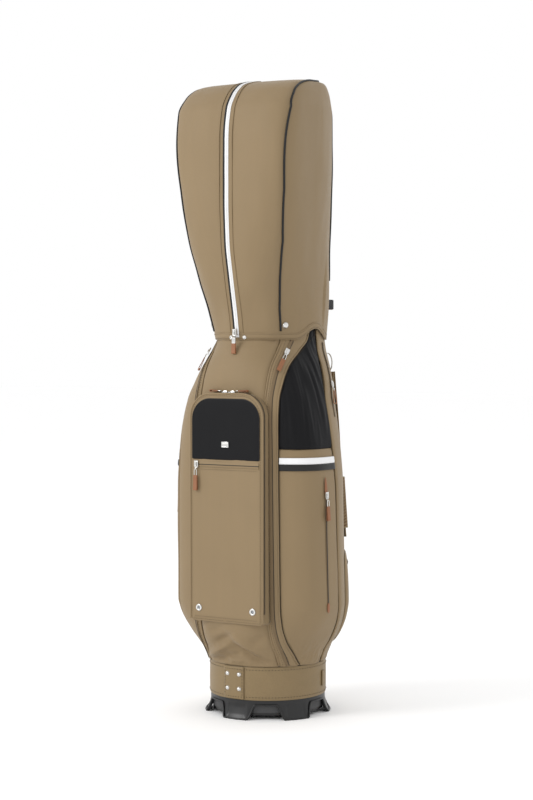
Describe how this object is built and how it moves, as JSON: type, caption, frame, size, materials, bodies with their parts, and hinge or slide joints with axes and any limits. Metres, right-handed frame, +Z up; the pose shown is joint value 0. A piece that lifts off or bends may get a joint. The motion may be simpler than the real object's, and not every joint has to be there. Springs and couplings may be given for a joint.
{
  "type": "golf staff bag",
  "caption": "Tall standing golf bag: moulded foot, rigid tube with club dividers, sewn outer pockets with zips, a flap-front ball pocket, carry handle, strap and a lift-off zipped travel hood.",
  "frame": {"origin": "on the ground under the feet, at the centre of the moulded base, which is also the middle of the whole bag seen from above to within 5 mm", "axes": "+Z up along the bag, -Y towards the front where the ball pocket is, +X towards the right side as seen from the front"},
  "size_m": [0.3536, 0.3215, 1.25],
  "materials": {
    "tan_twill": "coated nylon twill, matt, fine weave",
    "black_twill": "coated nylon twill, matt",
    "black_webbing": "flat polyamide webbing",
    "divider_cloth": "brushed polyester over foam",
    "stripe_tape": "coated tape, white over black",
    "tan_leather": "pebbled synthetic leather, stitched edges",
    "saddle_leather": "saddle-tan leather, cut edges",
    "base_plastic": "moulded polypropylene, fine texture",
    "collar_plastic": "moulded polypropylene, fine texture",
    "tube_board": "rolled plastic sheet",
    "nickel": "nickel-plated zinc casting, polished",
    "stay_steel": "drawn spring-steel rod"
  },
  "bodies": {
    "bag": {"base_moulding": "base_plastic", "belt_band": "tan_leather", "belt_overlap_tab": "tan_leather", "belt_rivet_1": "nickel", "belt_rivet_2": "nickel", "belt_rivet_3": "nickel", "belt_rivet_4": "nickel", "belt_keeper": "tan_leather", "main_tube": "tube_board", "top_collar": "collar_plastic", "divider_top": "collar_plastic", "divider_sheets": "divider_cloth", "stay_rod_left": "stay_steel", "stay_rod_right": "stay_steel", "handle_bracket_left": "collar_plastic", "handle_bracket_right": "collar_plastic", "front_panel": "tan_twill", "corner_strip_right": "tan_twill", "corner_strip_left": "tan_twill", "side_pocket_right": "tan_twill", "side_pocket_left": "tan_twill", "side_upper_right": "black_twill", "side_upper_left": "black_twill", "stripe_band_right": "stripe_tape", "stripe_band_left": "stripe_tape", "rear_panel": "tan_twill", "rear_pocket": "tan_twill", "ball_pocket_gusset": "tan_twill", "shoulder_strap": "tan_twill", "strap_leather_sleeve": "tan_leather", "strap_ring_upper": "nickel"},
    "hood": {"hood_shell": "tan_twill", "hood_snap_left": "nickel", "hood_snap_right": "nickel"},
    "ball_flap": {"ball_pocket_flap": "tan_twill", "flap_black_insert": "black_twill", "badge_plate": "nickel", "flap_eyelet_left": "nickel", "flap_eyelet_right": "nickel"},
    "handle": {"carry_handle": "black_webbing"},
    "hood_slider": {"hood_slider": "nickel"},
    "hood_pull": {"hood_pull": "saddle_leather"},
    "arch_left_slider": {"arch_left_slider": "nickel"},
    "arch_left_pull": {"arch_left_pull": "saddle_leather"},
    "arch_right_slider": {"arch_right_slider": "nickel"},
    "arch_right_pull": {"arch_right_pull": "saddle_leather"},
    "face_slider": {"face_slider": "nickel"},
    "face_pull": {"face_pull": "saddle_leather"},
    "garment_left_slider": {"garment_left_slider": "nickel"},
    "garment_left_pull": {"garment_left_pull": "saddle_leather"},
    "garment_right_slider": {"garment_right_slider": "nickel"},
    "garment_right_pull": {"garment_right_pull": "saddle_leather"},
    "side_left_slider": {"side_left_slider": "nickel"},
    "side_left_pull": {"side_left_pull": "saddle_leather"},
    "side_right_slider": {"side_right_slider": "nickel"},
    "side_right_pull": {"side_right_pull": "saddle_leather"},
    "rear_left_slider": {"rear_left_slider": "nickel"},
    "rear_left_pull": {"rear_left_pull": "saddle_leather"},
    "rear_right_slider": {"rear_right_slider": "nickel"},
    "rear_right_pull": {"rear_right_pull": "saddle_leather"}
  },
  "joints": [
    {"name": "hood_lift", "type": "slide", "parent": "bag", "child": "hood", "axis": [0, 0, 1], "range_m": [0, 0.3]},
    {"name": "ball_flap_open", "type": "hinge", "parent": "bag", "child": "ball_flap", "pos_m": [0, -0.1565, 0.191], "axis": [1, 0, 0], "range_deg": [0, 100]},
    {"name": "handle_swing", "type": "hinge", "parent": "bag", "child": "handle", "pos_m": [0, 0.12171, 0.813], "axis": [1, 0, 0], "range_deg": [-20, 20]},
    {"name": "hood_zip", "type": "slide", "parent": "hood", "child": "hood_slider", "axis": [0, -0.1938, 0.981], "range_m": [0, 0.14]},
    {"name": "hood_pull_swing", "type": "hinge", "parent": "hood_slider", "child": "hood_pull", "pos_m": [0, -0.1255, 0.746], "axis": [-1, 0, 0], "range_deg": [0, 130]},
    {"name": "arch_left_zip", "type": "slide", "parent": "bag", "child": "arch_left_slider", "axis": [-1, 0, 0], "range_m": [0, 0.02]},
    {"name": "arch_left_pull_swing", "type": "hinge", "parent": "arch_left_slider", "child": "arch_left_pull", "pos_m": [-0.017, -0.1425, 0.6425], "axis": [0, 1, 0], "range_deg": [0, 130]},
    {"name": "arch_right_zip", "type": "slide", "parent": "bag", "child": "arch_right_slider", "axis": [1, 0, 0], "range_m": [0, 0.02]},
    {"name": "arch_right_pull_swing", "type": "hinge", "parent": "arch_right_slider", "child": "arch_right_pull", "pos_m": [0.017, -0.1425, 0.6425], "axis": [0, -1, 0], "range_deg": [0, 130]},
    {"name": "face_zip", "type": "slide", "parent": "ball_flap", "child": "face_slider", "axis": [1, 0, 0], "range_m": [0, 0.13]},
    {"name": "face_pull_swing", "type": "hinge", "parent": "face_slider", "child": "face_pull", "pos_m": [-0.067, -0.1597, 0.49], "axis": [-1, 0, 0], "range_deg": [0, 120]},
    {"name": "garment_left_zip", "type": "slide", "parent": "bag", "child": "garment_left_slider", "axis": [0.0078, -0.6614, -0.75], "range_m": [0, 0.03]},
    {"name": "garment_left_pull_swing", "type": "hinge", "parent": "garment_left_slider", "child": "garment_left_pull", "pos_m": [-0.09272, -0.08302, 0.71249], "axis": [-0.6567, 0.5623, -0.5026], "range_deg": [0, 130]},
    {"name": "garment_right_zip", "type": "slide", "parent": "bag", "child": "garment_right_slider", "axis": [-0.0078, -0.6614, -0.75], "range_m": [0, 0.03]},
    {"name": "garment_right_pull_swing", "type": "hinge", "parent": "garment_right_slider", "child": "garment_right_pull", "pos_m": [0.09272, -0.08302, 0.71249], "axis": [-0.6567, -0.5623, 0.5026], "range_deg": [0, 130]},
    {"name": "side_left_zip", "type": "slide", "parent": "bag", "child": "side_left_slider", "axis": [-0.008, 0.0311, -0.9995], "range_m": [0, 0.2]},
    {"name": "side_left_pull_swing", "type": "hinge", "parent": "side_left_slider", "child": "side_left_pull", "pos_m": [-0.17461, -0.06021, 0.43202], "axis": [-0.128, 0.9913, 0.0318], "range_deg": [0, 130]},
    {"name": "side_right_zip", "type": "slide", "parent": "bag", "child": "side_right_slider", "axis": [0.008, 0.0311, -0.9995], "range_m": [0, 0.2]},
    {"name": "side_right_pull_swing", "type": "hinge", "parent": "side_right_slider", "child": "side_right_pull", "pos_m": [0.17461, -0.06021, 0.43202], "axis": [-0.128, -0.9913, -0.0318], "range_deg": [0, 130]},
    {"name": "rear_left_zip", "type": "slide", "parent": "bag", "child": "rear_left_slider", "axis": [-0.2341, -0.2458, -0.9406], "range_m": [0, 0.04]},
    {"name": "rear_left_pull_swing", "type": "hinge", "parent": "rear_left_slider", "child": "rear_left_pull", "pos_m": [-0.13731, 0.02651, 0.6454], "axis": [0.2076, 0.9325, -0.2954], "range_deg": [0, 130]},
    {"name": "rear_right_zip", "type": "slide", "parent": "bag", "child": "rear_right_slider", "axis": [0.2341, -0.2458, -0.9406], "range_m": [0, 0.04]},
    {"name": "rear_right_pull_swing", "type": "hinge", "parent": "rear_right_slider", "child": "rear_right_pull", "pos_m": [0.13731, 0.02651, 0.6454], "axis": [0.2076, -0.9325, 0.2954], "range_deg": [0, 130]}
  ]
}
